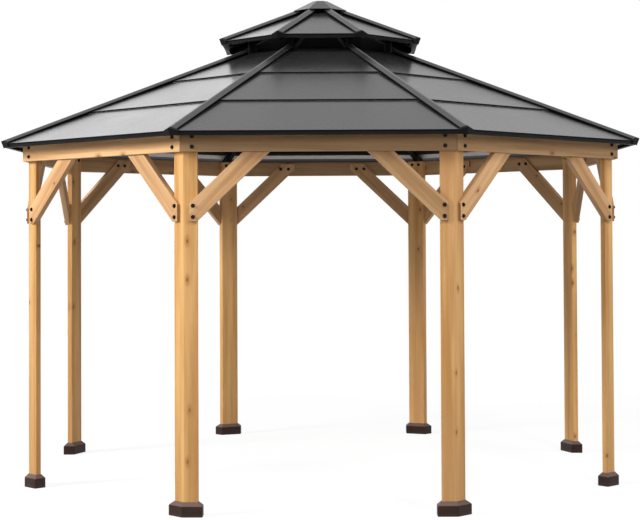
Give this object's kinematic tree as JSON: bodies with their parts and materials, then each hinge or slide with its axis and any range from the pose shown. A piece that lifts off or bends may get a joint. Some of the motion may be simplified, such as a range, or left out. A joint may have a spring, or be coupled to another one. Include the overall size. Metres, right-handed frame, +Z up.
{
  "type": "octagonal garden gazebo",
  "caption": "Open octagonal garden gazebo with timber posts, ring beams and knee braces under a two-tier steel hip roof with a vent gap.",
  "frame": {"origin": "centre of the octagon at ground level", "axes": "+Z up, the front bay faces -Y and the right bay faces +X"},
  "size_m": [4.3528, 4.3528, 3.4358],
  "materials": {
    "timber": "stained cedar, satin",
    "roof_panel": "satin powder coat",
    "roof_trim": "satin powder coat",
    "frame_steel": "matt powder coat",
    "seat_steel": "black coat",
    "base_cover": "moulded, satin"
  },
  "bodies": {
    "root": {"post_front_right": "timber", "post_right_front": "timber", "post_right_back": "timber", "post_back_right": "timber", "post_back_left": "timber", "post_left_back": "timber", "post_left_front": "timber", "post_front_left": "timber", "beam_front": "timber", "beam_front_right": "timber", "beam_right": "timber", "beam_back_right": "timber", "beam_back": "timber", "beam_back_left": "timber", "beam_left": "timber", "beam_front_left": "timber", "braces_front": "timber", "braces_front_right": "timber", "braces_right": "timber", "braces_back_right": "timber", "braces_back": "timber", "braces_back_left": "timber", "braces_left": "timber", "braces_front_left": "timber", "post_base_covers": "base_cover", "rafter_seats": "seat_steel", "hip_rafters": "frame_steel", "eave_purlins": "frame_steel", "lower_purlins": "frame_steel", "upper_purlins": "frame_steel", "vent_ring": "frame_steel", "vent_uprights": "frame_steel", "upper_rafters": "frame_steel", "apex_hub": "frame_steel", "eave_course_panels": "roof_panel", "middle_course_panels": "roof_panel", "top_course_panels": "roof_panel", "upper_roof_panels": "roof_panel", "eave_trim": "roof_trim", "hip_caps": "roof_trim", "hip_end_caps": "roof_trim", "upper_eave_trim": "roof_trim", "upper_hip_caps": "roof_trim", "upper_hip_end_caps": "roof_trim", "apex_cap": "roof_trim"}
  },
  "joints": []
}
